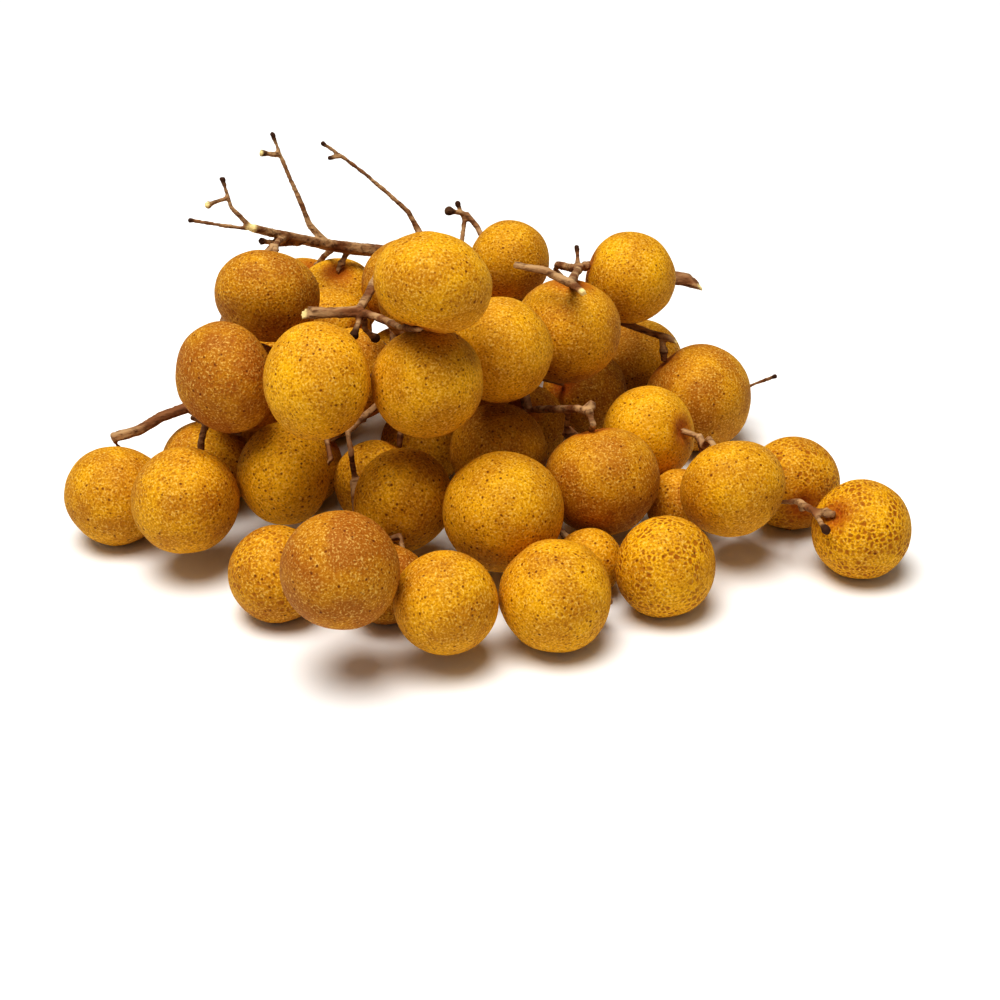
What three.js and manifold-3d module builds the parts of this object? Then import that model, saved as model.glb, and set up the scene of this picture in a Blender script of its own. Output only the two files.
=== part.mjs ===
// A bunch of longans, picked with its wood and laid on a flat surface.
// Millimetres, +Z up. The origin lies on the surface, under the middle of the bunch.
//
// The fruits find their places first. Then the wood grows through the gaps between them.
// At the end both become solids.

import * as THREE from "three";
import { mergeVertices } from "three/addons/utils/BufferGeometryUtils.js";
import Module from "manifold-3d";

const wasm = await Module();
wasm.setup();

// Shape of a fruit
const FRUIT_GAP = 0.4; // air between two fruits
const FRUIT_SEGMENTS = 12; // corners round a fruit
const FRUIT_RINGS = [0.16, 0.38, 0.8, 1.25, 1.7, 2.15, 2.65]; // angles from the stem end, radians
const SHOULDER = 0.03; // how much fuller the stem end is than the tip
const UNSEEN_FLAT = 0.96; // height over diameter, where a fruit isn't in plain view
const LOBE = 0.004; // unevenness of the outline, as a part of the radius
const DIMPLE = 1.3; // depth of the hollow at the stem end
const DIMPLE_WIDTH = 0.3; // its spread, radians
const SUNK = 0.35; // a fruit on the surface is flattened by this much

// How the fruits find their places
const ROUNDS = 300; // before their stem ends are turned, and again after that
const YIELD = 0.3; // part of an overlap that each of two fruits gives way in a round
const PULL = 0.02; // part of the way back to its own place that a fruit goes in the first round
const SETTLED = 4; // a fruit that hangs lower than this after the first rounds lies on the surface

// Where stem ends turn that aren't in view
const HEART = new THREE.Vector3(-8, 440, 42); // where most branches meet
const BEARINGS = 300; // directions that are tried
const ROOM_WEIGHT = 4;
const FIRM_WEIGHT = 6;

// Wood
const WOOD_GAP = 0.35; // air between wood and fruit
const TRIM = 0.2; // least air between them, where a branch is trimmed
const WOOD_SIDES = 5;
const SECTION = 7; // distance between the sections of a branch
const STALK = 4; // straight part of a fruit's stalk
const STALK_RADIUS = 1;
const THICKENING = 0.25; // added to it by the square root of the number of fruits that a branch carries
const THICKEST = 2.1;
const THINNEST = 0.5;
const KNOT = 1.45; // a knot's radius over its branch's
const THREAD = 0.05; // radius of the tube that each branch is widened from

// The gaps that branches grow through, in cells
const CELL = 2.5; // size of a cell, in millimetres
const CORNER = new THREE.Vector3(-125, 325, 0); // middle of the first cell
const COUNTS = [96, 86, 42];
const ROOM = 1.15; // half the width of the narrowest gap that a branch goes through, in millimetres
const OPEN = 4; // in a space wider than this there is no fruit to hide the wood
const EXPOSED = 5; // cost of being seen, over that of a hidden cell
const HIDES = 2; // a fruit hides what is this far inside its outline
const NEAR_WOOD = 1.3; // a cell this many cells from the wood reaches it
const SMOOTHING = 6; // rounds
const NUDGES = 12; // rounds in which a point finds a place clear of the fruits
const MARKS = 6; // points that are looked at between two sections of a branch

const FRUIT_COLOUR = "#c9923a";
const WOOD_COLOUR = "#74503a";

// The bunch was measured in a square picture of 1000 pixels, taken from this eye point.
const FOCAL = 1860; // pixels
const MIDDLE = 500; // pixels
const EYE_HEIGHT = 252;
const PITCH = THREE.MathUtils.degToRad(30.2);
const ROLL = THREE.MathUtils.degToRad(-1.9);

const level = new THREE.Vector3(1, 0, 0);
const upright = new THREE.Vector3(0, Math.sin(PITCH), Math.cos(PITCH));
const ahead = new THREE.Vector3(0, Math.cos(PITCH), -Math.sin(PITCH));
const right = level.clone().multiplyScalar(Math.cos(ROLL)).addScaledVector(upright, Math.sin(ROLL));
const up = upright.clone().multiplyScalar(Math.cos(ROLL)).addScaledVector(level, -Math.sin(ROLL));
const eye = new THREE.Vector3(0, 0, EYE_HEIGHT);
const DOWN = new THREE.Vector3(0, 0, -1);

// The way from the eye through a pixel, one millimetre deep.
const sight = (u, v) =>
  ahead.clone().addScaledVector(right, (u - MIDDLE) / FOCAL).addScaledVector(up, (MIDDLE - v) / FOCAL);

// A point behind a pixel, at a depth from the eye.
const behind = (u, v, depth) => eye.clone().addScaledVector(sight(u, v), depth);

// A direction as the picture shows it: to the right, up, and towards the eye.
function facing(x, y, near) {
  const direction = ahead.clone().multiplyScalar(-near).addScaledVector(right, x).addScaledVector(up, y);
  return direction.normalize();
}

// Fruits in plain view: middle in the picture, width there in pixels, real diameter,
// height over diameter, and where the stem end points (right, up, towards the eye).
const IN_VIEW = [
  { u: 116, v: 495, wide: 103, across: 26.5, flat: 0.98, stem: [0.05, 0.9, -0.4] },
  { u: 185, v: 501, wide: 110, across: 27.9, flat: 0.99, stem: [0.2, 0.75, -0.6] },
  { u: 207, v: 464, wide: 95, across: 25.1, flat: 0.95, stem: [0.1, 0.6, -0.75] },
  { u: 225, v: 378, wide: 116, across: 28.7, flat: 0.82, stem: [0.75, 0.35, -0.5] },
  { u: 316, v: 381, wide: 121, across: 28.8, flat: 0.86, stem: [0.93, 0.1, -0.35] },
  { u: 267, v: 296, wide: 107, across: 27.8, flat: 0.86, stem: [0.15, 0.95, -0.2] },
  { u: 433, v: 283, wide: 123, across: 29, flat: 0.83, stem: [-0.3, -0.9, -0.2] },
  { u: 428, v: 383, wide: 116, across: 28, flat: 0.96, stem: [-0.35, 0.75, -0.55] },
  { u: 501, v: 350, wide: 108, across: 27.1, flat: 0.97, stem: [-0.75, 0.35, -0.4] },
  { u: 567, v: 331, wide: 110, across: 28, flat: 0.97, stem: [0.1, 0.85, 0.35] },
  { u: 510, v: 261, wide: 83, across: 23.6, flat: 0.96, stem: [-0.7, 0.6, -0.4] },
  { u: 630, v: 278, wide: 93, across: 25.3, flat: 0.99, stem: [-0.93, 0.3, 0.1] },
  { u: 640, v: 361, wide: 86, across: 25.1, flat: 0.95, stem: [0.2, 0.2, -0.95] },
  { u: 698, v: 397, wide: 112, across: 30.3, flat: 0.95, stem: [-0.68, 0.72, 0.1] },
  { u: 648, v: 434, wide: 99, across: 25.9, flat: 0.95, stem: [0.72, 0.05, 0.65] },
  { u: 733, v: 489, wide: 109, across: 27, flat: 0.87, stem: [-0.3, 0.85, -0.4] },
  { u: 792, v: 482, wide: 97, across: 25.2, flat: 0.95, stem: [0.1, -0.5, 0.8] },
  { u: 862, v: 529, wide: 102, across: 25.3, flat: 0.96, stem: [-0.7, 0.33, 0.63] },
  { u: 602, v: 481, wide: 118, across: 29.4, flat: 0.94, stem: [-0.2, 0.95, 0.1] },
  { u: 503, v: 512, wide: 124, across: 30.2, flat: 0.98, stem: [0.1, 0.3, -0.95] },
  { u: 555, v: 595, wide: 117, across: 27.6, flat: 0.98, stem: [0.93, -0.12, -0.3] },
  { u: 666, v: 566, wide: 106, across: 25.5, flat: 0.92, stem: [-0.6, 0.3, -0.7] },
  { u: 446, v: 603, wide: 108, across: 24.9, flat: 0.97, stem: [-0.2, 0.5, -0.85] },
  { u: 340, v: 571, wide: 123, across: 28, flat: 0.97, stem: [0.2, 0.5, -0.85] },
  { u: 276, v: 574, wide: 100, across: 23.9, flat: 0.95, stem: [0.4, 0.2, -0.9] },
  { u: 283, v: 474, wide: 105, across: 26.6, flat: 0.86, stem: [0.8, 0.1, -0.5] },
  { u: 404, v: 500, wide: 107, across: 26.7, flat: 0.9, stem: [-0.75, 0.3, -0.55] },
  { u: 498, v: 452, wide: 100, across: 26, flat: 0.94, stem: [0.2, 0.5, -0.8] },
  { u: 338, v: 300, wide: 86, across: 25, flat: 0.95, stem: [0.05, 0.65, 0.75] },
  { u: 407, v: 284, wide: 92, across: 25.5, flat: 0.95, stem: [-0.3, 0.6, -0.7] },
  { u: 306, v: 298, wide: 84, across: 25, flat: 0.95, stem: [0.33, 0.76, 0.55] },
];

// Fruits that others mostly hide: middle in the picture, depth from the eye and real diameter.
const TUCKED_IN = [
  { u: 404, v: 463, depth: 500, across: 23.5 },
  { u: 527, v: 420, depth: 515, across: 23 },
  { u: 668, v: 522, depth: 470, across: 18.5 },
  { u: 268, v: 512, depth: 484, across: 24 },
  { u: 343, v: 495, depth: 490, across: 24 },
  { u: 398, v: 362, depth: 525, across: 24.5 },
  { u: 618, v: 556, depth: 466, across: 17.5 },
  { u: 386, v: 578, depth: 448, across: 21 },
];

// Fruits at the back and underneath, by their places on the surface and above it.
const BURIED = [
  { x: 5, y: 500, z: 18, across: 25 },
  { x: -20, y: 508, z: 12.5, across: 24.5 },
  { x: 25, y: 472, z: 12.5, across: 25 },
  { x: -72, y: 458, z: 12.5, across: 25 },
  { x: -48, y: 474, z: 12.5, across: 24 },
  { x: -62, y: 440, z: 31, across: 24.5 },
  { x: -38, y: 443, z: 34, across: 25 },
  { x: -6, y: 447, z: 30, across: 24 },
  { x: 23, y: 511, z: 13, across: 25 },
  { x: -17, y: 437, z: 58, across: 25 },
  { x: -5, y: 475, z: 24, across: 24.5 },
  { x: -34, y: 476, z: 33, across: 25 },
  { x: -66, y: 487, z: 12.5, across: 24 },
];

const fruits = [];
for (const f of IN_VIEW) {
  const depth = (FOCAL * f.across) / f.wide;
  fruits.push({ ...f, ray: sight(f.u, f.v), depth, own: depth, axis: facing(...f.stem), firm: true });
}
const unseen = [
  ...TUCKED_IN.map((f) => ({ across: f.across, own: behind(f.u, f.v, f.depth) })),
  ...BURIED.map((f) => ({ across: f.across, own: new THREE.Vector3(f.x, f.y, f.z) })),
];
for (const f of unseen) {
  fruits.push({ ...f, at: f.own.clone(), flat: UNSEEN_FLAT, axis: new THREE.Vector3(0, 0, 1) });
}

// A fruit in plain view stays on its line of sight, and its size there stays as measured.
function put(fruit) {
  if (fruit.firm) {
    fruit.at = eye.clone().addScaledVector(fruit.ray, fruit.depth);
    fruit.across = (fruit.wide * fruit.depth) / FOCAL;
  }
}

// How far a fruit reaches from its middle in a direction.
function reach(fruit, direction) {
  const along = direction.dot(fruit.axis);
  return (fruit.across / 2) * Math.sqrt(1 - along * along * (1 - fruit.flat * fruit.flat));
}

// Two fruits that overlap give way: along its line of sight if in plain view, else straight off.
function part(a, b) {
  const apart = b.at.clone().sub(a.at);
  const distance = apart.length();
  apart.divideScalar(distance);
  const lack = reach(a, apart) + reach(b, apart) + FRUIT_GAP - distance;
  if (lack <= 0) return;
  if (a.firm && b.firm) {
    const deeper = b.depth - a.depth;
    const aside = distance * distance - deeper * deeper;
    const wanted = Math.sqrt(Math.max((distance + lack) ** 2 - aside, 0));
    const move = (wanted - Math.abs(deeper)) * YIELD * (deeper < 0 ? -1 : 1);
    a.depth -= move;
    b.depth += move;
    put(a);
    put(b);
  } else {
    if (!a.firm) a.at.addScaledVector(apart, b.firm ? -lack : -lack / 2);
    if (!b.firm) b.at.addScaledVector(apart, a.firm ? lack : lack / 2);
  }
}

// How high a fruit hangs over the place where it would rest on its flat spot.
const clearance = (fruit) => fruit.at.z - (1 - 2 * LOBE) * reach(fruit, DOWN) + SUNK;

// A fruit is let down by a height: along its line of sight if in plain view, else straight.
function lower(fruit, height) {
  if (fruit.firm) fruit.depth -= height / fruit.ray.z;
  else fruit.at.z -= height;
  put(fruit);
}

function settle(rounds) {
  for (let round = 0; round < rounds; round++) {
    const pull = PULL * (1 - round / rounds);
    for (const fruit of fruits) {
      if (fruit.firm) fruit.depth += pull * (fruit.own - fruit.depth);
      else fruit.at.lerp(fruit.own, pull);
      put(fruit);
    }
    fruits.forEach((fruit, i) => fruits.slice(i + 1).forEach((other) => part(fruit, other)));
    for (const fruit of fruits) lower(fruit, fruit.lies ? clearance(fruit) : Math.min(clearance(fruit), 0));
  }
}

// The gap between a point and the nearest fruit.
function roomAt(point, except) {
  let room = Infinity;
  for (const fruit of fruits) {
    if (fruit === except) continue;
    const off = point.clone().sub(fruit.at);
    const distance = off.length();
    room = Math.min(room, distance - reach(fruit, off.divideScalar(distance)));
  }
  return room;
}

// Directions spread evenly over a ball.
const TURN = Math.PI * (3 - Math.sqrt(5));
const bearings = Array.from({ length: BEARINGS }, (_, i) => {
  const z = 1 - (2 * i + 1) / BEARINGS;
  const r = Math.sqrt(1 - z * z);
  return new THREE.Vector3(r * Math.cos(i * TURN), r * Math.sin(i * TURN), z);
});

// Where a fruit's stalk leaves the fruit, and where its straight part ends.
const stalkFoot = (fruit, axis = fruit.axis) =>
  fruit.at.clone().addScaledVector(axis, (fruit.across / 2) * fruit.flat - DIMPLE + WOOD_GAP);
const stalkHead = (fruit, axis = fruit.axis) => stalkFoot(fruit, axis).addScaledVector(axis, STALK);

// A stem end turns to where its stalk has room: near the way it points, or towards the heart of the bunch.
function turnStemEnd(fruit) {
  const wanted = fruit.firm ? fruit.axis.clone() : HEART.clone().sub(fruit.at).normalize();
  const rate = (axis) => {
    const head = stalkHead(fruit, axis);
    const room = Math.min(roomAt(head, fruit), head.z);
    const turned = axis.angleTo(wanted) * (fruit.firm ? FIRM_WEIGHT : 1);
    return Math.min(room - ROOM, 1) * ROOM_WEIGHT - turned;
  };
  fruit.axis = [wanted, ...bearings].reduce((best, axis) => (rate(axis) > rate(best) ? axis : best));
}

fruits.forEach(put);
settle(ROUNDS);
fruits.forEach(turnStemEnd);
for (const fruit of fruits) fruit.lies = clearance(fruit) < SETTLED;
settle(ROUNDS);

// What still overlaps is taken off the fruits' sizes.
for (const a of fruits) {
  for (const b of fruits) {
    if (a === b) continue;
    const apart = b.at.clone().sub(a.at);
    const distance = apart.length();
    apart.divideScalar(distance);
    const lack = reach(a, apart) + reach(b, apart) + FRUIT_GAP - distance;
    if (lack > 0) {
      a.across -= lack;
      b.across -= lack;
    }
  }
}

function solid(geometry) {
  geometry.deleteAttribute("normal");
  geometry.deleteAttribute("uv");
  const merged = mergeVertices(geometry, 1e-5);
  const mesh = new wasm.Mesh({
    numProp: 3,
    vertProperties: new Float32Array(merged.attributes.position.array),
    triVerts: new Uint32Array(merged.index.array),
  });
  return new wasm.Manifold(mesh);
}

function geometryOf(body) {
  const mesh = body.getMesh();
  const geometry = new THREE.BufferGeometry();
  geometry.setAttribute("position", new THREE.BufferAttribute(mesh.vertProperties, 3));
  geometry.setIndex(new THREE.BufferAttribute(mesh.triVerts, 1));
  geometry.computeVertexNormals();
  return geometry;
}

const surfaceBody = solid(new THREE.BoxGeometry(400, 400, 20).translate(0, 440, -10));

// A fruit is turned round its stem axis. It is fuller at the shoulders, and hollow where the stalk sits.
// Its outline is a little uneven.
function fruitBody(fruit, number) {
  const radius = fruit.across / 2 / (1 + SHOULDER / 4);
  const profile = [0, ...FRUIT_RINGS, Math.PI].map((angle) => {
    const hollow = DIMPLE * Math.exp(-((angle / DIMPLE_WIDTH) ** 2));
    const out = radius * Math.sin(angle) * (1 + SHOULDER * Math.cos(angle));
    return new THREE.Vector2(Math.max(out, 0), radius * fruit.flat * Math.cos(angle) - hollow);
  });
  profile[0].x = 0;
  profile[profile.length - 1].x = 0;
  const geometry = new THREE.LatheGeometry(profile.reverse(), FRUIT_SEGMENTS);
  geometry.rotateX(Math.PI / 2);
  const position = geometry.attributes.position;
  const point = new THREE.Vector3();
  for (let i = 0; i < position.count; i++) {
    point.fromBufferAttribute(position, i);
    const round = Math.atan2(point.y, point.x);
    const uneven = 1 - LOBE * (2 - Math.cos(2 * round + number) - Math.cos(3 * round + 2 * number));
    position.setXYZ(i, point.x * uneven, point.y * uneven, point.z);
  }
  const turn = new THREE.Quaternion().setFromUnitVectors(new THREE.Vector3(0, 0, 1), fruit.axis);
  geometry.applyQuaternion(turn);
  geometry.translate(fruit.at.x, fruit.at.y, fruit.at.z);
  const body = solid(geometry);
  if (!fruit.lies) return body;
  const drop = body.boundingBox().min[2] + SUNK;
  fruit.at.z -= drop;
  return body.translate([0, 0, -drop]).subtract(surfaceBody);
}

// Branches in plain view, each through points in the picture at depths from the eye, with radii from end to
// end. One ends in a fruit's hollow, in a knot, or in a slanting cut that faces a given way. One that joins
// "before" its first point or "after" its last one grows on from there, through the gaps, to other wood.
const TRUNK = {
  base: [[703, 284, 522], [688, 280, 524], [666, 277, 526], [640, 274, 531]],
  top: [
    [402, 253, 537], [381, 251, 533], [350, 248, 528],
    [330, 245, 523], [300, 239, 513], [252, 228, 499],
  ],
  baseRadii: [2.05, 2.05, 2],
  topRadii: [2, 1.95, 1.7, 1.4, 1.2],
  baseCut: [1, 0.9, 0.7],
};
const BRANCHES = [
  { through: [[250, 229, 499], [220, 225, 496], [189, 220, 494]], radii: [0.6, 0.45] },
  {
    through: [[252, 229, 499], [237, 217, 497], [227, 197, 496], [222, 178, 495]],
    radii: [0.9, 0.65, 0.5],
  },
  { through: [[227, 198, 496], [212, 194, 495], [208, 205, 494]], radii: [0.7, 0.8], knot: true },
  { through: [[300, 243, 514], [280, 244, 508], [261, 241, 502]], radii: [0.9, 0.8] },
  {
    through: [[326, 243, 521], [307, 221, 518], [299, 197, 516], [287, 172, 515], [272, 133, 512]],
    radii: [1.3, 0.8, 0.65, 0.5],
  },
  { through: [[281, 155, 514], [270, 155, 512], [261, 153, 511]], radii: [0.8, 0.8] },
  { through: [[348, 250, 528], [347, 260, 526]], radii: [0.9, 0.9], fruit: 29, knot: true },
  { through: [[336, 247, 525], [326, 254, 534]], radii: [0.9, 0.9], fruit: 31, knot: true },
  { through: [[283, 240, 508], [277, 242, 498]], radii: [1, 0.9], fruit: 6 },
  {
    through: [
      [424, 240, 492], [410, 214, 490], [392, 197, 489],
      [371, 179, 488], [339, 154, 486], [322, 143, 485],
    ],
    radii: [0.8, 0.65, 0.5],
    joins: "before",
  },
  { through: [[341, 156, 486], [333, 156, 486], [328, 158, 486]], radii: [0.6, 0.5] },
  {
    through: [[462, 240, 536], [463, 226, 536], [466, 213, 536], [457, 202, 535]],
    radii: [0.9, 0.7],
    joins: "before",
  },
  { through: [[466, 213, 536], [474, 222, 536]], radii: [0.9, 0.9], fruit: 11 },
  { through: [[466, 214, 536], [456, 213, 534], [449, 211, 533]], radii: [0.7, 0.9], knot: true },
  {
    through: [[358, 312, 462], [366, 298, 464], [374, 285, 468], [380, 272, 476]],
    radii: [1.3, 1.1],
    joins: "after",
  },
  {
    through: [[358, 312, 462], [330, 313, 463], [299, 313, 464]],
    radii: [1.6, 1.45, 1.9],
    cut: [-1, 0.3, 0.9],
  },
  { through: [[360, 312, 462], [383, 319, 455], [398, 327, 446]], radii: [1.2, 0.9], fruit: 7 },
  { through: [[362, 313, 462], [361, 325, 461], [354, 335, 460]], radii: [1, 0.8], knot: true },
  { through: [[364, 314, 463], [366, 332, 468], [375, 338, 472]], radii: [0.9, 0.8], knot: true },
  {
    through: [[571, 282, 470], [576, 273, 484], [578, 269, 498], [566, 267, 506], [550, 265, 514]],
    radii: [1.3, 1.1],
    joins: "after",
  },
  {
    through: [[571, 284, 469], [562, 275, 470], [547, 271, 471], [530, 269, 472], [514, 265, 473]],
    radii: [1.4, 1],
  },
  { through: [[568, 280, 469], [576, 286, 468], [584, 294, 466]], radii: [1.1, 1] },
  { through: [[571, 283, 470], [571, 285, 473]], radii: [1.1, 1], fruit: 10 },
  { through: [[578, 269, 499], [580, 265, 505]], radii: [1.2, 1.1], fruit: 12, knot: true },
  { through: [[578, 268, 500], [577, 256, 501], [577, 246, 501]], radii: [0.8, 0.45] },
  {
    through: [[612, 320, 520], [635, 327, 518], [654, 334, 516], [678, 341, 513]],
    radii: [1, 1.1],
    joins: "before",
    cut: [0.6, 0.9, 0.7],
  },
  { through: [[662, 336, 515], [665, 347, 514]], radii: [1, 1], fruit: 14, knot: true },
  {
    through: [[742, 391, 532], [750, 386, 530], [765, 380, 527], [776, 376, 525]],
    radii: [0.6, 0.5],
    joins: "before",
  },
  {
    through: [[196, 402, 492], [165, 415, 490], [140, 430, 488], [112, 443, 485]],
    radii: [1.7, 1.5],
    joins: "before",
  },
  { through: [[114, 442, 485], [110, 446, 485]], radii: [1.2, 1], fruit: 1 },
  { through: [[248, 436, 476], [215, 425, 473], [191, 417, 473]], radii: [1, 0.9], joins: "before" },
  { through: [[206, 423, 473], [202, 434, 470]], radii: [1, 1], fruit: 2 },
  {
    through: [[385, 396, 484], [362, 418, 476], [346, 437, 471], [352, 458, 470], [355, 480, 473]],
    radii: [1.2, 1.1, 0.8],
    joins: "before",
  },
  {
    through: [[528, 410, 486], [545, 409, 480], [563, 409, 473], [583, 409, 465], [591, 413, 461]],
    radii: [1.1, 1.1],
    joins: "before",
  },
  { through: [[583, 410, 465], [591, 406, 464]], radii: [1.1, 1.1], knot: true },
  { through: [[588, 411, 462], [593, 419, 459]], radii: [1, 1], fruit: 19 },
  { through: [[569, 409, 471], [568, 416, 474], [566, 430, 480]], radii: [0.8, 0.7] },
  { through: [[789, 497, 464], [800, 503, 461], [814, 511, 456]], radii: [1, 1], joins: "before" },
  { through: [[814, 511, 456], [821, 511, 453]], radii: [1, 1], fruit: 18, knot: true },
  { through: [[812, 510, 457], [820, 524, 452], [826, 530, 449]], radii: [0.8, 0.7], knot: true },
  { through: [[806, 507, 459], [802, 510, 461]], radii: [0.9, 0.9], fruit: 17, knot: true },
];

// Every point of the wood keeps clear of the fruits, but for the one that it leads to.
function nudge(point, radius, except) {
  for (let round = 0; round < NUDGES; round++) {
    for (const fruit of fruits) {
      if (fruit === except) continue;
      const off = point.clone().sub(fruit.at);
      const distance = off.length();
      off.divideScalar(distance);
      const lack = reach(fruit, off) + radius + WOOD_GAP - distance;
      if (lack > 0) point.addScaledVector(off, lack);
    }
    point.z = Math.max(point.z, radius + WOOD_GAP);
  }
  return point;
}

// The space round the bunch is divided into cells.
const cellAt = (point) => point.clone().sub(CORNER).divideScalar(CELL).round();
const middleOf = (cell) => cell.clone().multiplyScalar(CELL).add(CORNER);
const keyOf = (cell) => (cell.z * COUNTS[1] + cell.y) * COUNTS[0] + cell.x;
const neighbours = Array.from({ length: 27 }, (_, i) => {
  return new THREE.Vector3((i % 3) - 1, (Math.floor(i / 3) % 3) - 1, Math.floor(i / 9) - 1);
});

function inView(point) {
  const way = point.clone().sub(eye);
  const distance = way.length();
  way.divideScalar(distance);
  return !fruits.some((fruit) => {
    const off = fruit.at.clone().sub(eye);
    const along = off.dot(way);
    return along < distance && off.addScaledVector(way, -along).length() < fruit.across / 2 - HIDES;
  });
}

// What it costs to grow through a cell. A wide or plainly seen gap costs more, and a tight one has no way.
const costs = new Map();
function costOf(cell) {
  const key = keyOf(cell);
  if (!costs.has(key)) {
    const point = middleOf(cell);
    const room = Math.min(roomAt(point), point.z);
    const outside = cell.toArray().some((n, axis) => n < 0 || n >= COUNTS[axis]);
    const shown = inView(point) ? EXPOSED : 0;
    costs.set(key, outside || room < ROOM ? Infinity : 1 + shown + Math.max(room - OPEN, 0));
  }
  return costs.get(key);
}

const wood = [];
const reached = new Map(); // for each cell by the wood, the branch and its point there

function nearest(points, at) {
  const distances = points.map((point) => point.distanceTo(at));
  return points[distances.indexOf(Math.min(...distances))];
}

// Branches meet at the stations between their sections.
function addBranch(branch) {
  branch.curve = new THREE.CatmullRomCurve3(branch.points, false, "centripetal");
  branch.steps = Math.max(1, Math.round(branch.curve.getLength() / SECTION));
  branch.stations = branch.curve.getSpacedPoints(branch.steps);
  branch.load = 0;
  wood.push(branch);
  for (const mark of branch.curve.getSpacedPoints(MARKS * branch.steps)) {
    for (const step of neighbours) {
      const cell = cellAt(mark).add(step);
      const near = middleOf(cell).distanceTo(mark) < NEAR_WOOD * CELL;
      if (!near || reached.has(keyOf(cell))) continue;
      reached.set(keyOf(cell), { branch, point: nearest(branch.stations, mark) });
    }
  }
  if (branch.fruit) {
    for (let at = branch; at; at = at.parent) at.load += 1;
  }
}

// The cheapest way through the gaps from a point, to a goal or else to the nearest wood.
function findWay(start, goal) {
  const goalKey = goal && keyOf(cellAt(goal));
  const done = new Set();
  const queues = [[{ cell: cellAt(start), cost: 0, from: null }]]; // by cost in tenths
  for (let level = 0; level < queues.length; level++) {
    for (const here of queues[level] ?? []) {
      const key = keyOf(here.cell);
      if (done.has(key)) continue;
      done.add(key);
      if (goal ? key === goalKey : reached.has(key)) {
        const way = [];
        for (let at = here; at; at = at.from) way.unshift(middleOf(at.cell));
        return { way, end: reached.get(key) };
      }
      for (const step of neighbours) {
        const cell = here.cell.clone().add(step);
        const cost = here.cost + costOf(cell) * step.length();
        if (cost === Infinity || done.has(keyOf(cell))) continue;
        const queue = Math.round(cost * 10);
        queues[queue] ??= [];
        queues[queue].push({ cell, cost, from: here });
      }
    }
  }
  return null;
}

// A way of cells becomes a smooth run of points, clear of the fruits. The first few stay where they are.
function smooth(points, firm) {
  for (let round = 0; round < SMOOTHING; round++) {
    for (let i = firm; i < points.length - 1; i++) {
      points[i].add(points[i - 1]).add(points[i + 1]).divideScalar(3);
      nudge(points[i], ROOM - WOOD_GAP);
    }
  }
  const kept = points.slice(0, firm);
  for (const point of points.slice(firm, -1)) {
    if (point.distanceTo(kept[kept.length - 1]) >= SECTION) kept.push(point);
  }
  const end = points[points.length - 1];
  if (kept.length > firm && kept[kept.length - 1].distanceTo(end) < SECTION / 2) kept.pop();
  return [...kept, end];
}

const place = ([u, v, depth], radius) => nudge(behind(u, v, depth), radius);

// The plane of a cut through the first of some points, a radius inside it, and the side of it that stays.
function slant([tip, next], radius, faces) {
  const normal = facing(...faces).negate();
  const through = next.clone().sub(tip).setLength(radius).add(tip);
  return { normal: normal.toArray(), offset: normal.dot(through) };
}

const base = TRUNK.base.map((at) => place(at, THICKEST));
const top = TRUNK.top.map((at) => place(at, ROOM));
const { way } = findWay(base[base.length - 1], top[0]);
const rise = smooth([...base, ...way.slice(1, -1), top[0]], base.length);
addBranch({ points: rise, radii: TRUNK.baseRadii, cut: slant(base, TRUNK.baseRadii[0], TRUNK.baseCut) });
addBranch({ points: top, radii: TRUNK.topRadii, parent: wood[0] });

for (const { through, radii, fruit, joins, knot, cut } of BRANCHES) {
  const points = through.map((at) => place(at, Math.min(...radii)));
  const branch = { points, radii, knot, fruit: fruits[fruit - 1] };
  if (cut) branch.cut = slant(points.toReversed(), radii[radii.length - 1], cut);
  if (fruit) points.push(stalkFoot(branch.fruit));
  if (joins === "before") {
    points.reverse();
    radii.reverse();
  }
  if (joins) {
    const found = findWay(points[points.length - 1]);
    branch.points = smooth([...points, ...found.way.slice(1), found.end.point.clone()], points.length);
    branch.parent = found.end.branch;
    branch.grown = true;
  } else {
    const start = points[0];
    const marks = (other) => other.curve.getSpacedPoints(MARKS * other.steps);
    const far = (other) => nearest(marks(other), start).distanceTo(start);
    branch.parent = wood.reduce((best, other) => (far(other) < far(best) ? other : best));
  }
  addBranch(branch);
}

const stalked = new Set(wood.map((branch) => branch.fruit));
const hidden = fruits.filter((fruit) => !stalked.has(fruit));
hidden.sort((a, b) => a.at.distanceTo(HEART) - b.at.distanceTo(HEART));
for (const fruit of hidden) {
  const head = stalkHead(fruit);
  const found = findWay(head);
  const points = smooth([stalkFoot(fruit), head, ...found.way.slice(1), found.end.point.clone()], 2);
  const radii = [STALK_RADIUS, STALK_RADIUS];
  addBranch({ points, radii, fruit, parent: found.end.branch, grown: true });
}

function between(values, t) {
  const at = t * (values.length - 1);
  const i = Math.min(Math.floor(at), values.length - 2);
  return THREE.MathUtils.lerp(values[i], values[i + 1], at - i);
}

// A branch is a tube that changes its radius on the way, and is thinner where fruits press on it.
const section = new THREE.Shape();
for (let i = 0; i < WOOD_SIDES; i++) {
  const angle = (i / WOOD_SIDES) * 2 * Math.PI;
  const [x, y] = [THREAD * Math.cos(angle), THREAD * Math.sin(angle)];
  if (i) section.lineTo(x, y);
  else section.moveTo(x, y);
}
section.closePath();

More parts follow.
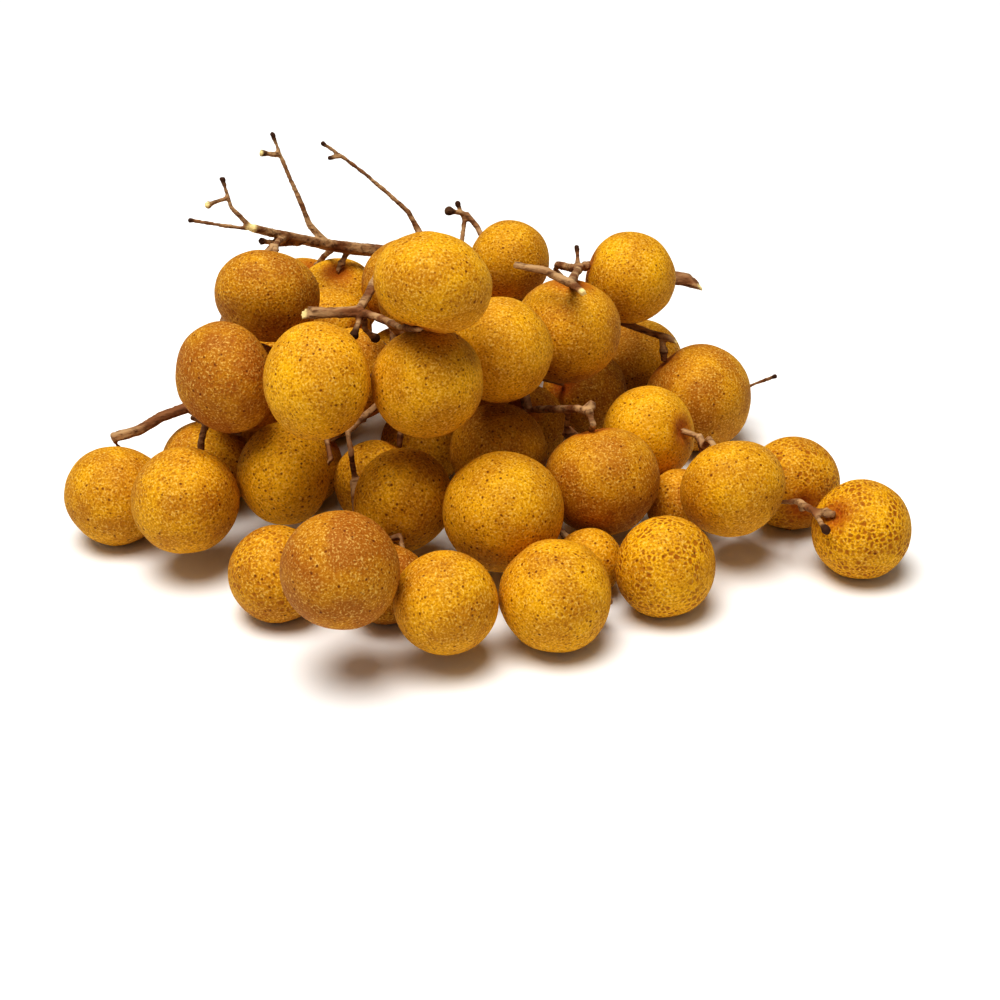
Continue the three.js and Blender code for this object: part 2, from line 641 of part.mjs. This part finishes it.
function branchBody({ curve, steps, stations, radii, fruit, load, grown, cut }) {
  const full = grown ? Math.min(STALK_RADIUS + THICKENING * Math.sqrt(load), THICKEST) : 0;
  const widths = stations.map((at, i) => {
    const wanted = Math.max(between(radii, i / steps), between([0, full], i / steps));
    return THREE.MathUtils.clamp(roomAt(at, fruit) - WOOD_GAP, THINNEST, wanted);
  });
  const geometry = new THREE.ExtrudeGeometry(section, { steps, extrudePath: curve, bevelEnabled: false });
  const position = geometry.attributes.position;
  const point = new THREE.Vector3();
  for (let i = 0; i < position.count; i++) {
    point.fromBufferAttribute(position, i);
    const station = nearest(stations, point);
    point.sub(station).multiplyScalar(widths[stations.indexOf(station)] / THREAD).add(station);
    position.setXYZ(i, point.x, point.y, point.z);
  }
  const body = solid(geometry);
  return cut ? body.trimByPlane(cut.normal, cut.offset) : body;
}

const bodies = wood.map(branchBody);
for (const { stations, radii, knot, fruit } of wood) {
  if (knot) {
    const [before, last] = stations.slice(-2);
    const at = last.clone().lerp(before, fruit ? 0.4 : 0);
    const ball = new THREE.IcosahedronGeometry(KNOT * radii[radii.length - 1]);
    bodies.push(solid(ball.translate(at.x, at.y, at.z)));
  }
}
let stems = bodies.reduce((whole, body) => whole.add(body));

const group = new THREE.Group();
fruits.forEach((fruit, i) => {
  const material = new THREE.MeshStandardMaterial({ color: FRUIT_COLOUR, roughness: 0.8, metalness: 0 });
  const body = fruitBody(fruit, i + 1);
  const mesh = new THREE.Mesh(geometryOf(body), material);
  mesh.name = "longan_" + String(i + 1).padStart(2, "0");
  group.add(mesh);
  const clear = 1 + (2 * TRIM) / fruit.across;
  const { x, y, z } = fruit.at;
  const wider = body.translate([-x, -y, -z]).scale([clear, clear, clear]).translate([x, y, z]);
  stems = stems.subtract(wider);
});
const material = new THREE.MeshStandardMaterial({ color: WOOD_COLOUR, roughness: 0.9, metalness: 0 });
const stemsMesh = new THREE.Mesh(geometryOf(stems), material);
stemsMesh.name = "stems";
group.add(stemsMesh);

const box = new THREE.Box3().setFromObject(group);
const middle = box.getCenter(new THREE.Vector3());
for (const mesh of group.children) mesh.geometry.translate(-middle.x, -middle.y, 0);

export default group;
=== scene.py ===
# %% [markdown]
# # A bunch of longans
#
# This lesson dresses a laid bunch of longans: some fifty round fruits with a thin, leathery, tan shell,
# packed close together on dry brown stems. The solids give every fruit and stem its place and size. Here the
# fruits become smooth and get their netted peel, and the stems get bark, buds and pale cut ends.

# %% Load the solids
import math

import bmesh
import bpy
from mathutils import Matrix, Vector, noise


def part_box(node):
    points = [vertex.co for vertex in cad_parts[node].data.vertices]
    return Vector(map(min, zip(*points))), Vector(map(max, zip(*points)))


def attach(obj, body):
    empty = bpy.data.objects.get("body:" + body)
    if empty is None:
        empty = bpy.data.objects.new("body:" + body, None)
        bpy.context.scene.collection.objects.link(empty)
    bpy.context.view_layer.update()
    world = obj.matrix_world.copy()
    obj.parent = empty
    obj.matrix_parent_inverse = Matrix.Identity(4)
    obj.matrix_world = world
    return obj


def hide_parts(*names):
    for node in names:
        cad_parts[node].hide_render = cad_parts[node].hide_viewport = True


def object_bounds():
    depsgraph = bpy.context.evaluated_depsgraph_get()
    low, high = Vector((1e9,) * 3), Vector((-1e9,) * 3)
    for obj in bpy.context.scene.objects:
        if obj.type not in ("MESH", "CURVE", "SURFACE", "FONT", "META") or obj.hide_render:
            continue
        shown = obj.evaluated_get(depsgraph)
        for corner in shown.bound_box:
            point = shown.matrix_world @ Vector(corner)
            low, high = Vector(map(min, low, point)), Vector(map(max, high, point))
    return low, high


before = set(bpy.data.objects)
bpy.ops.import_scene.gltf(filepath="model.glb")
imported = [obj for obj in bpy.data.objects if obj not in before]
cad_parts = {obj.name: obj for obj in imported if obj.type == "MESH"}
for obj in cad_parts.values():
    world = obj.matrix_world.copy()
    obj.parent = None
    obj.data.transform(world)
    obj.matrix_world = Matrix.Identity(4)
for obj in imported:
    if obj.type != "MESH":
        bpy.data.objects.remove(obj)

solid_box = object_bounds()
MM = 0.001
fruit_names = sorted(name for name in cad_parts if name.startswith("longan_"))
print("fruits:", len(fruit_names))

# %% [markdown]
# ## The eye
#
# The bunch is seen from the front and from about thirty degrees above. The camera comes first, because its
# viewing rays later give the places of the twigs' ends. A long lens keeps the fruits at the back nearly as
# large as those in front. The camera is built from its own three directions, so a slight roll is easy to add.

# %% Camera
FOCAL = 1.86  # focal length over the picture's width
PITCH = math.radians(30.2)
ROLL = math.radians(-1.9)
EYE = Vector((5.937, -433.954, 252)) * MM

level = Vector((1, 0, 0))
upright = Vector((0, math.sin(PITCH), math.cos(PITCH)))
ahead = Vector((0, math.cos(PITCH), -math.sin(PITCH)))
right = math.cos(ROLL) * level + math.sin(ROLL) * upright
up = math.cos(ROLL) * upright - math.sin(ROLL) * level

lens = bpy.data.cameras.new("eye")
lens.sensor_width = 36
lens.lens = FOCAL * lens.sensor_width
camera = bpy.data.objects.new("eye", lens)
camera.matrix_world = Matrix((right, up, -ahead)).transposed().to_4x4()
camera.matrix_world.translation = EYE
bpy.context.scene.collection.objects.link(camera)
bpy.context.scene.camera = camera
print("camera at", [round(x, 3) for x in camera.location])

# %% [markdown]
# ## Shared effects
#
# Peel and bark both have fine grain that scatters light. Such an effect is a node group with named inputs,
# built once and placed in each material with its own values. A small helper wires nodes, so that each
# material reads like a recipe.

# %% Node helpers


def new_node(tree, kind, inputs=None, **settings):
    """Adds a node, sets its properties, and gives its inputs values or links."""
    node = tree.nodes.new(kind)
    for key, value in settings.items():
        setattr(node, key, value)
    for key, value in (inputs or {}).items():
        if isinstance(value, bpy.types.NodeSocket):
            tree.links.new(value, node.inputs[key])
        else:
            node.inputs[key].default_value = value
    return node


def math_node(tree, operation, a, b=0.0, c=0.0):
    return new_node(tree, "ShaderNodeMath", {0: a, 1: b, 2: c}, operation=operation).outputs[0]


def spread(tree, value, low, high, to_low=0.0, to_high=1.0):
    """Maps a value smoothly from one range to another, and keeps it inside."""
    inputs = {"Value": value, "From Min": low, "From Max": high, "To Min": to_low, "To Max": to_high}
    return new_node(tree, "ShaderNodeMapRange", inputs, interpolation_type="SMOOTHSTEP").outputs[0]


def blend_colour(tree, factor, first, second):
    """The first colour where the factor is nothing, and the second where it is one."""
    node = new_node(tree, "ShaderNodeMix", data_type="RGBA", blend_type="MIX", clamp_factor=True)
    for socket, value in ((0, factor), (6, first), (7, second)):
        if isinstance(value, bpy.types.NodeSocket):
            tree.links.new(value, node.inputs[socket])
        else:
            node.inputs[socket].default_value = value
    return node.outputs[2]


def new_group(name, inputs, outputs):
    """An empty node group with a vector input, float inputs, and outputs named with their types."""
    tree = bpy.data.node_groups.new(name, "ShaderNodeTree")
    tree.interface.new_socket("Vector", in_out="INPUT", socket_type="NodeSocketVector")
    for key, value in inputs.items():
        tree.interface.new_socket(key, in_out="INPUT", socket_type="NodeSocketFloat").default_value = value
    for key, kind in outputs.items():
        tree.interface.new_socket(key, in_out="OUTPUT", socket_type=kind)
    return tree, tree.nodes.new("NodeGroupInput").outputs, tree.nodes.new("NodeGroupOutput")


# %% Grain group
MIDDLE = 0.5  # a noise runs from 0 to 1 about this value
grain_group, ins, outs = new_group(
    "fine_grain", {"Size": 0.4, "Contrast": 1.0}, {"Height": "NodeSocketFloat"}
)
scale = math_node(grain_group, "DIVIDE", 1 / MM, ins["Size"])
coarse = new_node(
    grain_group, "ShaderNodeTexNoise", {"Vector": ins["Vector"], "Scale": scale, "Detail": 3.0}
)
lifted = math_node(grain_group, "SUBTRACT", coarse.outputs["Fac"], MIDDLE)
height = math_node(grain_group, "MULTIPLY_ADD", lifted, ins["Contrast"], MIDDLE)
grain_group.links.new(height, outs.inputs["Height"])
print("group", grain_group.name)

# %% [markdown]
# ## Fruits
#
# The solid of a fruit is a coarse turned form with a hollow where the stalk sits. A copy of it is merged, and
# its pairs of triangles are joined back into squares, because subdivision flows well over squares.
# Subdivision pulls a coarse shape inwards, so the corners are first moved out until the smooth skin passes
# through the places where the solid has them. This keeps every fruit's size and its flat spot on the surface.

# %% Copy a solid
SAME_CORNER = 0.005 * MM  # corners closer than this are one


def copy_of_solid(name):
    """A merged copy of a node's mesh, as a bmesh."""
    bm = bmesh.new()
    bm.from_mesh(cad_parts[name].data)
    bmesh.ops.remove_doubles(bm, verts=bm.verts, dist=SAME_CORNER)
    return bm


def new_piece(name, bm, stands_for):
    """Makes a bmesh a smooth piece that rides on the bunch and stands for a node."""
    mesh = bpy.data.meshes.new(name)
    bm.to_mesh(mesh)
    bm.free()
    mesh.shade_smooth()
    piece = bpy.data.objects.new(name, mesh)
    bpy.context.scene.collection.objects.link(piece)
    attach(piece, "root")
    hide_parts(stands_for)
    return piece


# %% [markdown]
# A fruit's stem end is found on the solid itself: its hollow is the corner that lies nearest to the middle.
# A flat spot on the surface comes near to the middle too, so its corners are passed over. The angle from the
# stem end, over the whole fruit, later steers the brown halo round the stalk.

# %% Find the stem end
FLAT_SPOT = 1 * MM  # corners below this height belong to the flat spot


def kept_inside(place):
    """The place, or the nearest one inside the box of the solids."""
    return Vector(min(max(c, low), high) for c, low, high in zip(place, *solid_box))


def middle_of(name):
    low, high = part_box(name)
    return (low + high) / 2


def stem_axis(bm, middle):
    corners = (v for v in bm.verts if v.co.z > FLAT_SPOT)
    hollow = min(corners, key=lambda v: (v.co - middle).length)
    return (hollow.co - middle).normalized()


# %% Smooth skin through the corners
FIT_ROUNDS = 5
SKIN_LEVELS = 3


def smooth_skin(bm, levels):
    """Subdivides a closed bmesh so that the smooth skin passes through its corners."""
    wanted = [v.co.copy() for v in bm.verts]
    mesh = bpy.data.meshes.new("skin")
    bm.to_mesh(mesh)
    cage = bpy.data.objects.new("skin", mesh)
    bpy.context.scene.collection.objects.link(cage)
    subdivision = cage.modifiers.new("skin", "SUBSURF")
    subdivision.levels = subdivision.render_levels = levels
    for _ in range(FIT_ROUNDS):
        bpy.context.view_layer.update()
        skin = cage.evaluated_get(bpy.context.evaluated_depsgraph_get()).data
        for vertex, goal in zip(mesh.vertices, wanted):
            vertex.co += goal - skin.vertices[vertex.index].co
        mesh.update()
    bpy.context.view_layer.update()
    bm.clear()
    bm.from_mesh(cage.evaluated_get(bpy.context.evaluated_depsgraph_get()).data)
    bpy.data.objects.remove(cage)
    bpy.data.meshes.remove(mesh)


# %% [markdown]
# The shell isn't a perfect ball: it has slight dents and swellings a few millimetres wide. They are real
# shape, so they move the mesh. Each fruit reads the noise at another place, which gives each its own form.

# %% Dents
DENT_SIZE = 9 * MM
DENT_DEPTH = 0.22 * MM
PIT_SIZE = 2.6 * MM
PIT_DEPTH = 0.05 * MM
SINK = DENT_DEPTH / 3  # keeps the swellings inside the solid's size
NEXT_FRUIT = (3.7, 1.3, 0)  # steps in the noise from one fruit to the next


def add_dents(bm, middle, number):
    bm.normal_update()
    here = Vector([number * step for step in NEXT_FRUIT])
    for vertex in bm.verts:
        off = vertex.co - middle
        move = noise.noise(off / DENT_SIZE + here) * DENT_DEPTH
        move += noise.noise(off / PIT_SIZE + here) * PIT_DEPTH
        vertex.co = kept_inside(vertex.co + vertex.normal * (move - SINK))


# %% [markdown]
# No two longans have quite the same colour. Each fruit carries three numbers of its own on its vertices: how
# yellow or brown it is, how strongly its net shows, and how many dark specks it has. The fruits that lie in
# front are given theirs one by one, and the others read theirs from a noise. A fourth number is the angle
# from the stem end.

# %% Each fruit's character
FRUIT_LOOKS = {  # number: (browner, net, specks)
    1: (0.45, 0.3, 0.3),
    2: (0.4, 0.45, 0.45),
    3: (0.45, 0.5, 0.4),
    4: (0.85, 0.55, 0.35),
    5: (0.15, 0.3, 0.5),
    6: (0.6, 0.5, 0.3),
    7: (0.3, 0.35, 0.35),
    8: (0.3, 0.15, 0.3),
    9: (0.25, 0.15, 0.1),
    10: (0.45, 0.35, 0.2),
    11: (0.4, 0.3, 0.2),
    12: (0.25, 0.3, 0.1),
    13: (0.5, 0.2, 0.2),
    14: (0.6, 0.15, 0.1),
    15: (0.0, 0.15, 0.2),
    16: (0.25, 0.35, 0.4),
    17: (0.4, 0.85, 0.3),
    18: (0.1, 0.95, 0.1),
    19: (0.6, 0.25, 0.3),
    20: (0.2, 0.2, 0.4),
    21: (0.3, 0.4, 0.5),
    22: (0.2, 0.9, 0.45),
    23: (0.35, 0.3, 0.6),
    24: (0.9, 0.3, 0.5),
    25: (0.5, 0.8, 0.5),
    26: (0.0, 0.4, 0.7),
    27: (0.2, 0.4, 0.9),
    28: (0.55, 0.2, 0.3),
    29: (0.2, 0.3, 0.2),
    30: (0.6, 0.2, 0.2),
    31: (0.5, 0.2, 0.2),
}
USUAL_LOOK = 0.5
VARIETY = 0.45
LOOK_STEPS = (5.1, 7.7)  # steps in the noise, from fruit to fruit and from value to value


def look_of(number):
    if number in FRUIT_LOOKS:
        return FRUIT_LOOKS[number]
    from_fruit, from_value = LOOK_STEPS
    draws = [noise.noise(Vector((number * from_fruit, i * from_value, 0.5))) for i in range(3)]
    return [USUAL_LOOK + VARIETY * draw for draw in draws]


def mark(mesh, name, values):
    """Stores a number on every vertex, for the material to read."""
    layer = mesh.attributes.new(name, "FLOAT", "POINT")
    layer.data.foreach_set("value", values)


# %% Fruits
NEARLY_FLAT = math.radians(50)  # two triangles that meet at less than this may be one square
NEARLY_SQUARE = math.radians(60)
fruits = []
for name in fruit_names:
    number = int(name.split("_")[1])
    middle = middle_of(name)
    bm = copy_of_solid(name)
    axis = stem_axis(bm, middle)
    bmesh.ops.join_triangles(
        bm, faces=bm.faces, angle_face_threshold=NEARLY_FLAT, angle_shape_threshold=NEARLY_SQUARE
    )
    smooth_skin(bm, SKIN_LEVELS)
    add_dents(bm, middle, number)
    fruit = new_piece("peel_%02d" % number, bm, name)
    vertices = fruit.data.vertices
    mark(fruit.data, "from_stem", [(v.co - middle).angle(axis) for v in vertices])
    for key, value in zip(("browner", "net", "specks"), look_of(number)):
        mark(fruit.data, key, [value] * len(vertices))
    fruits.append(fruit)
print("peel triangles:", sum(len(p.vertices) - 2 for f in fruits for p in f.data.polygons))

# %% [markdown]
# ## Peel
#
# Longan shell is matte and slightly sandy. Over it runs a net of fine raised veins, little more than a
# millimetre from one to the next, with darker sunken cells between them and dark pin specks in some. Round
# the stalk it is reddish brown. Cells of a Voronoi texture make the net, and a little noise bends its lines
# so that they look grown. All patterns read Object coordinates, so they stay on the fruit.

# %% Peel material


def attribute(tree, name):
    return new_node(tree, "ShaderNodeAttribute", attribute_name=name).outputs["Fac"]


def colour(red, green, blue):
    """A colour from its usual screen values, 0 to 255."""
    return (*[((c / 255 + 0.055) / 1.055) ** 2.4 for c in (red, green, blue)], 1)


peel = bpy.data.materials.new("peel")
peel.use_nodes = True
tree = peel.node_tree
shader = tree.nodes["Principled BSDF"]
where = new_node(tree, "ShaderNodeTexCoord").outputs["Object"]

# %% Warped places for grown lines
WARP_SIZE = 1.8
WARP = 0.5 * MM
warp = new_node(
    tree, "ShaderNodeTexNoise", {"Vector": where, "Scale": 1 / (WARP_SIZE * MM), "Detail": 2.0}
)
centred = new_node(
    tree,
    "ShaderNodeVectorMath",
    {0: warp.outputs["Color"], 1: (MIDDLE, MIDDLE, MIDDLE)},
    operation="SUBTRACT",
)
moved = new_node(
    tree,
    "ShaderNodeVectorMath",
    {0: centred.outputs[0], 1: (WARP, WARP, WARP), 2: where},
    operation="MULTIPLY_ADD",
)
grown = moved.outputs[0]

# %% Net of veins
NET_CELL = 1.45
NET_PATCH = 6  # the net is stronger in patches of this size
FAINT_NET = 0.3
net_cells = new_node(
    tree,
    "ShaderNodeTexVoronoi",
    {"Vector": grown, "Scale": 1 / (NET_CELL * MM)},
    feature="DISTANCE_TO_EDGE",
)
cell_depth = spread(tree, net_cells.outputs["Distance"], low=0.06, high=0.3)
patches = new_node(
    tree, "ShaderNodeTexNoise", {"Vector": where, "Scale": 1 / (NET_PATCH * MM), "Detail": 1.0}
)
net_here = spread(tree, patches.outputs["Fac"], low=0.3, high=0.65, to_low=FAINT_NET, to_high=1.0)
net_strength = math_node(tree, "MULTIPLY", attribute(tree, "net"), net_here)
sunken = math_node(tree, "MULTIPLY", cell_depth, net_strength)

# %% Sand and fine pores
SAND_SIZE = 0.52
SAND_CONTRAST = 1.8
PORE_CELL = 0.75
sand = new_node(tree, "ShaderNodeGroup", node_tree=grain_group)
sand.inputs["Size"].default_value = SAND_SIZE
sand.inputs["Contrast"].default_value = SAND_CONTRAST
tree.links.new(grown, sand.inputs["Vector"])
sand_height = sand.outputs["Height"]
pores = new_node(
    tree, "ShaderNodeTexVoronoi", {"Vector": grown, "Scale": 1 / (PORE_CELL * MM), "Randomness": 1.0}
)
pore_size = new_node(tree, "ShaderNodeSeparateColor", {0: pores.outputs["Color"]}).outputs[1]
pore_core = spread(tree, pores.outputs["Distance"], low=0.15, high=0.5, to_low=1.0, to_high=0.0)
pore = math_node(tree, "MULTIPLY", pore_core, pore_size)

# %% Specks
SPECK_CELL = 1.5
MOST_SPECKED = 0.6  # the share of cells with a speck on the most specked fruit
speck_cells = new_node(
    tree, "ShaderNodeTexVoronoi", {"Vector": grown, "Scale": 1 / (SPECK_CELL * MM), "Randomness": 1.0}
)
speck_core = spread(tree, speck_cells.outputs["Distance"], low=0.1, high=0.32, to_low=1.0, to_high=0.0)
lot = new_node(tree, "ShaderNodeSeparateColor", {0: speck_cells.outputs["Color"]}).outputs[0]
share = math_node(tree, "MULTIPLY", attribute(tree, "specks"), MOST_SPECKED)
chosen = math_node(tree, "LESS_THAN", lot, share)
speck = math_node(tree, "MULTIPLY", speck_core, chosen)

# %% Body colour of the peel
BLOTCH_SIZE = 9
BLOTCH_SHIFT = 0.25
YELLOW = colour(230, 174, 14)
BROWN = colour(168, 106, 28)
blotches = new_node(
    tree, "ShaderNodeTexNoise", {"Vector": where, "Scale": 1 / (BLOTCH_SIZE * MM), "Detail": 2.0}
)
shift = spread(
    tree, blotches.outputs["Fac"], low=0.3, high=0.7, to_low=-BLOTCH_SHIFT, to_high=BLOTCH_SHIFT
)
browner = math_node(tree, "ADD", attribute(tree, "browner"), shift)
body_colour = blend_colour(tree, browner, YELLOW, BROWN)

# %% Layers over the body colour
# Pale sand grains: partly the peel's own sandy dust, partly a painted sheen in the colour of its lit tops.
sand_and_sheen = spread(tree, sand_height, low=0.45, high=0.95)
dusty = spread(tree, sand_height, low=0.55, high=0.05)
halo = spread(tree, attribute(tree, "from_stem"), low=0.1, high=0.62, to_low=1.0, to_high=0.0)
for mask, strength, layer_colour in (
    (sand_and_sheen, 0.55, colour(250, 218, 136)),
    (dusty, 0.6, colour(158, 100, 8)),
    (pore, 0.7, colour(140, 80, 6)),
    (sunken, 0.9, colour(152, 84, 8)),
    (halo, 0.8, colour(168, 84, 16)),
    (speck, 0.85, colour(104, 48, 4)),
):
    shown = math_node(tree, "MULTIPLY", mask, strength)
    body_colour = blend_colour(tree, shown, body_colour, layer_colour)
tree.links.new(body_colour, shader.inputs["Base Color"])

# %% Relief and gloss of the peel
CELL_RELIEF = -0.7
PORE_RELIEF = -0.4
SAND_RELIEF = 0.4
PEEL_RELIEF = 0.2 * MM
PEEL_SPECULAR = 0.22
relief = math_node(tree, "MULTIPLY", sunken, CELL_RELIEF)
relief = math_node(tree, "MULTIPLY_ADD", pore, PORE_RELIEF, relief)
relief = math_node(tree, "MULTIPLY_ADD", sand_height, SAND_RELIEF, relief)
bump = new_node(tree, "ShaderNodeBump", {"Height": relief, "Distance": PEEL_RELIEF, "Strength": 1.0})
tree.links.new(bump.outputs[0], shader.inputs["Normal"])
rough = spread(tree, sand_height, low=0.3, high=0.7, to_low=0.62, to_high=0.78)
tree.links.new(rough, shader.inputs["Roughness"])
shader.inputs["Specular IOR Level"].default_value = PEEL_SPECULAR
for fruit in fruits:
    fruit.data.materials.append(peel)
print("peel nodes:", len(tree.nodes))

# %% [markdown]
# ## Stems
#
# The wood of a longan bunch is thin, dry and knobby. Its solid is made of straight-sided tubes that run into
# each other. A copy is swollen very slightly, so that its thinnest necks hold, and is rebuilt from fine cells
# and relaxed. That rounds the tubes and lets one branch flow into the next, as grown wood does. Knobs and
# wrinkles are then pressed in as real shape. Most branches run across the bunch, so the bark's streaks are
# drawn out that way.

# %% Rebuild the stems
VOXEL = 0.42 * MM
RELAX = 0.5
RELAX_ROUNDS = 2
SWELL = 0.05 * MM
bm = copy_of_solid("stems")
bm.normal_update()
for vertex in bm.verts:
    vertex.co += vertex.normal * SWELL
stems = new_piece("bark", bm, "stems")
remesh = stems.modifiers.new("cells", "REMESH")
remesh.mode = "VOXEL"
remesh.voxel_size = VOXEL
relax = stems.modifiers.new("relax", "SMOOTH")
relax.factor = RELAX
relax.iterations = RELAX_ROUNDS
bpy.context.view_layer.update()
rebuilt = bpy.data.meshes.new_from_object(stems.evaluated_get(bpy.context.evaluated_depsgraph_get()))
stems.modifiers.clear()
stems.data = rebuilt
print("bark triangles:", 2 * len(rebuilt.polygons))

# %% Places in the picture
PICTURE = 1000  # the picture's width and height in pixels


def behind(u, v, depth):
    """The point behind a place in the picture, in pixels, at a depth in millimetres."""
    across = right * (u - PICTURE / 2) / (PICTURE * FOCAL)
    upwards = up * (PICTURE / 2 - v) / (PICTURE * FOCAL)
    return EYE + (ahead + across + upwards) * depth * MM


def closeness(point, places):
    """One at any of the places, and falling to nothing at its radius."""
    return max(0.0, *[1 - (point - place).length / radius for place, radius in places])


# %% [markdown]
# Twigs end in small dark buds. Their places in the picture, depths and radii are known, so the wood near them
# is swollen a little. Where a stem was snipped, the pale wood inside shows instead. Both are marked on the
# vertices, and the material reads the marks.

# %% Ends of the twigs
BUDS = [  # place in the picture, depth and radius in millimetres
    (189, 220, 494, 1.6),
    (222, 178, 495, 2.4),
    (212, 197, 495, 2.2),
    (272, 133, 512, 2.6),
    (261, 153, 511, 2.0),
    (322, 143, 485, 1.8),
    (328, 158, 486, 2.0),
    (457, 202, 535, 2.4),
    (449, 211, 533, 2.4),
    (577, 246, 501, 2.2),
    (776, 376, 525, 2.0),
    (261, 241, 502, 1.6),
    (354, 335, 460, 2.6),
    (375, 338, 472, 2.6),
    (826, 530, 449, 2.6),
]
CUT_ENDS = [
    (705, 284, 522, 2.4),
    (251, 228, 499, 1.9),
    (298, 313, 464, 2.7),
    (206, 204, 493, 1.3),
    (259, 153, 510, 1.4),
    (584, 294, 466, 1.9),
    (680, 342, 513, 1.8),
]
bud_places = [(behind(u, v, depth), radius * MM) for u, v, depth, radius in BUDS]
cut_places = [(behind(u, v, depth), radius * MM) for u, v, depth, radius in CUT_ENDS]

# %% Bark shape
KNOB_SIZE = 2.2 * MM
KNOB = 0.16 * MM
WRINKLE_SIZE = 0.9 * MM
WRINKLE = 0.07 * MM
BUD_SWELL = 0.4 * MM
BUD_EDGE = 2  # the higher, the sharper the mark's edge
CUT_EDGE = 3
bm = bmesh.new()
bm.from_mesh(rebuilt)
bm.normal_update()
for vertex in bm.verts:
    move = KNOB * noise.noise(vertex.co / KNOB_SIZE)
    move += WRINKLE * noise.noise(vertex.co / WRINKLE_SIZE)
    move += BUD_SWELL * closeness(vertex.co, bud_places)
    vertex.co = kept_inside(vertex.co + vertex.normal * move)
bm.to_mesh(rebuilt)
bm.free()
rebuilt.shade_smooth()
for key, edge, places in (("bud", BUD_EDGE, bud_places), ("fresh", CUT_EDGE, cut_places)):
    mark(rebuilt, key, [min(1.0, edge * closeness(v.co, places)) for v in rebuilt.vertices])

# %% Bark material
BARK_GRAIN = 0.9
BARK_CONTRAST = 2.4
STREAKS = (0.3, 0.8, 0.9)  # a pattern is drawn out most where this is smallest
AGE_AND_HIGHLIGHT_PATCH = 4
BARK_RELIEF = 0.2 * MM
BARK_BUMP = 0.8
BARK_ROUGH = 0.8
BARK_SPECULAR = 0.3
bark = bpy.data.materials.new("bark")
bark.use_nodes = True
tree = bark.node_tree
shader = tree.nodes["Principled BSDF"]
where = new_node(tree, "ShaderNodeTexCoord").outputs["Object"]
grain = new_node(tree, "ShaderNodeGroup", node_tree=grain_group)
grain.inputs["Size"].default_value = BARK_GRAIN
grain.inputs["Contrast"].default_value = BARK_CONTRAST
drawn = new_node(tree, "ShaderNodeVectorMath", {0: where, 1: STREAKS}, operation="MULTIPLY").outputs[0]
tree.links.new(drawn, grain.inputs["Vector"])
patches = new_node(
    tree, "ShaderNodeTexNoise", {"Vector": drawn, "Scale": 1 / (AGE_AND_HIGHLIGHT_PATCH * MM), "Detail": 3.0}
)
# Paler bark patches: partly the wood's own uneven tone, partly a painted highlight in the colour of its lit
# side.
aged_and_highlit = spread(tree, patches.outputs["Fac"], low=0.35, high=0.65)
bark_colour = blend_colour(tree, aged_and_highlit, colour(132, 88, 54), colour(186, 152, 112))
grainy = spread(tree, grain.outputs["Height"], low=0.4, high=1.0)
for mask, strength, layer_colour in (
    (grainy, 0.75, colour(84, 50, 28)),
    (attribute(tree, "bud"), 1.0, colour(72, 44, 26)),
    (attribute(tree, "fresh"), 1.0, colour(244, 222, 160)),
):
    shown = math_node(tree, "MULTIPLY", mask, strength)
    bark_colour = blend_colour(tree, shown, bark_colour, layer_colour)
tree.links.new(bark_colour, shader.inputs["Base Color"])
bump = new_node(
    tree,
    "ShaderNodeBump",
    {"Height": grain.outputs["Height"], "Distance": BARK_RELIEF, "Strength": BARK_BUMP},
)
tree.links.new(bump.outputs[0], shader.inputs["Normal"])
shader.inputs["Roughness"].default_value = BARK_ROUGH
shader.inputs["Specular IOR Level"].default_value = BARK_SPECULAR
rebuilt.materials.clear()
rebuilt.materials.append(bark)

# %% [markdown]
# ## Studio
#
# The bunch lies on a plain pale floor that runs far back, so that no horizon shows. One large soft light
# hangs high above it, and a much weaker one fills in from the front left. A faint even surround opens the
# shadows.

# %% Floor
FLOOR_SIZE = 6.0
FLOOR_GREY = 0.92
FLOOR_ROUGH = 0.8
bm = bmesh.new()
bmesh.ops.create_grid(bm, x_segments=1, y_segments=1, size=FLOOR_SIZE / 2)
mesh = bpy.data.meshes.new("floor")
bm.to_mesh(mesh)
bm.free()
floor = bpy.data.objects.new("floor", mesh)
bpy.context.scene.collection.objects.link(floor)
pale = bpy.data.materials.new("pale_floor")
pale.use_nodes = True
shader = pale.node_tree.nodes["Principled BSDF"]
shader.inputs["Base Color"].default_value = (FLOOR_GREY, FLOOR_GREY, FLOOR_GREY, 1)
shader.inputs["Roughness"].default_value = FLOOR_ROUGH
mesh.materials.append(pale)

# %% Lights
HEART_OF_BUNCH = Vector((0, 0, 0.03))
SURROUND = 0.17


def soft_light(name, place, size, power, tint):
    """A round soft light that looks at the bunch."""
    light = bpy.data.lights.new(name, "AREA")
    light.shape = "DISK"
    light.size = size
    light.energy = power
    light.color = tint
    lamp = bpy.data.objects.new(name, light)
    lamp.location = place
    lamp.rotation_euler = (HEART_OF_BUNCH - Vector(place)).to_track_quat("-Z", "Y").to_euler()
    bpy.context.scene.collection.objects.link(lamp)


soft_light("key", place=(-0.2, -0.2, 1.55), size=1.3, power=25, tint=(1, 0.99, 0.97))
soft_light("fill", place=(-0.6, -1.1, 0.9), size=0.8, power=0.5, tint=(1, 0.98, 0.95))
world = bpy.data.worlds.new("surround")
world.use_nodes = True
background = world.node_tree.nodes["Background"]
background.inputs["Color"].default_value = (1, 1, 1, 1)
background.inputs["Strength"].default_value = SURROUND
bpy.context.scene.world = world
bpy.context.scene.view_settings.view_transform = "Standard"
bpy.context.scene.view_settings.look = "High Contrast"
